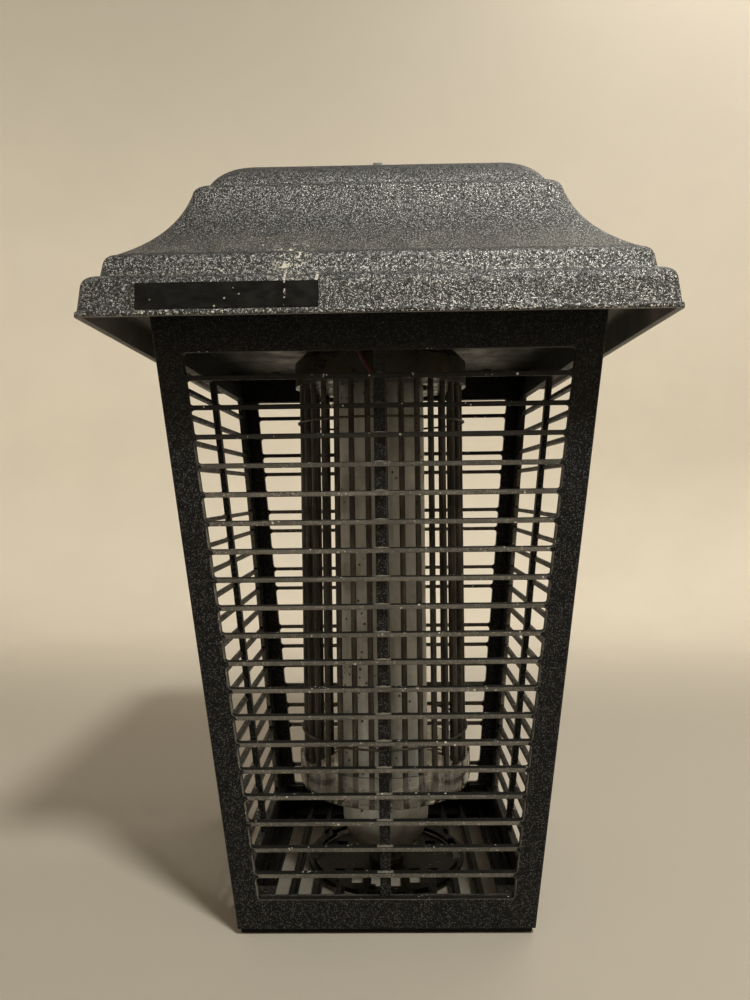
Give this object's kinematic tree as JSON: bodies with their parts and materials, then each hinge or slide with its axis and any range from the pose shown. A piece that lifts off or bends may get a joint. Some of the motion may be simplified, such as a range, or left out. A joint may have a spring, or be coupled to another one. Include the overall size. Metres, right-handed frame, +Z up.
{
  "type": "electric bug zapper",
  "caption": "Lantern-shaped electric bug zapper: tapered slatted cage, flared square roof with a hanging eye, U-shaped lamp inside a ring of live and return rods.",
  "frame": {"origin": "on the ground, at the centre of the footprint", "axes": "+Z up through the hanging eye, -Y towards the front with the badge, +X to the right seen from the front"},
  "size_m": [0.3006, 0.3006, 0.4803],
  "materials": {
    "housing": "fine stippled black plastic",
    "base": "plain black plastic",
    "roof": "pebbled charcoal plastic with a silvery fleck",
    "badge": "blank black strip",
    "rubber": "matt",
    "zinc": "zinc plated",
    "deck": "galvanised sheet",
    "amber": "smoky amber insulator",
    "clear": "dusty clear insulator",
    "rods": "dull plated wire",
    "lamp_glass": "phosphor-coated tube",
    "white_plastic": "satin",
    "brass": "plain",
    "iron": "varnished laminations",
    "bobbin": "satin",
    "winding": "varnished enamelled wire under tape",
    "capacitor": "potted case",
    "red_lead": "insulated wire",
    "black_lead": "insulated wire",
    "white_lead": "insulated wire"
  },
  "bodies": {
    "root": {"front_grille": "housing", "rear_grille": "housing", "left_grille": "housing", "right_grille": "housing", "corner_cleats": "housing", "base_frame": "base", "roof": "roof", "nameplate": "badge", "rubber_feet": "rubber", "cord_grommet": "rubber", "base_screws": "zinc", "hanging_eye": "zinc", "eye_washer": "zinc", "eye_nut": "zinc", "bracket_screws": "zinc", "deck_screws": "zinc", "insulator_screws": "zinc", "socket_screws": "zinc", "transformer_screws": "zinc", "ballast_screws": "zinc", "deck_plate": "deck", "hanger_bracket": "deck", "transformer_bracket": "deck", "ballast_bracket": "deck", "capacitor_clamp": "deck", "upper_insulator": "amber", "lower_insulator": "clear", "live_rods": "rods", "live_rod_plate": "rods", "return_rods": "rods", "return_rod_plate": "rods", "upper_grid_hoop": "rods", "lower_grid_hoop": "rods", "lamp_tube": "lamp_glass", "lamp_base": "white_plastic", "lamp_socket": "white_plastic", "starter_socket": "white_plastic", "terminal_block": "white_plastic", "lamp_pins": "brass", "terminal_screws": "brass", "transformer_core": "iron", "ballast_core": "iron", "transformer_bobbin": "bobbin", "ballast_bobbin": "bobbin", "transformer_coil": "winding", "ballast_coil": "winding", "capacitor": "capacitor", "hv_lead_red": "red_lead", "hv_lead_black": "black_lead", "mains_lead": "black_lead", "lamp_lead": "white_lead"},
    "lamp_cover": {"lamp_cover": "base", "lamp_rest_pad": "rubber"},
    "starter": {"starter": "white_plastic", "starter_pins": "brass"}
  },
  "joints": [
    {"name": "lamp_cover_twist", "type": "hinge", "parent": "root", "child": "lamp_cover", "pos_m": [0, 0, 0.0025], "axis": [0, 0, 1], "range_deg": [0, 35]},
    {"name": "starter_twist", "type": "hinge", "parent": "root", "child": "starter", "pos_m": [-0.042, -0.086, 0.363], "axis": [0, 0, 1], "range_deg": [0, 90]}
  ]
}
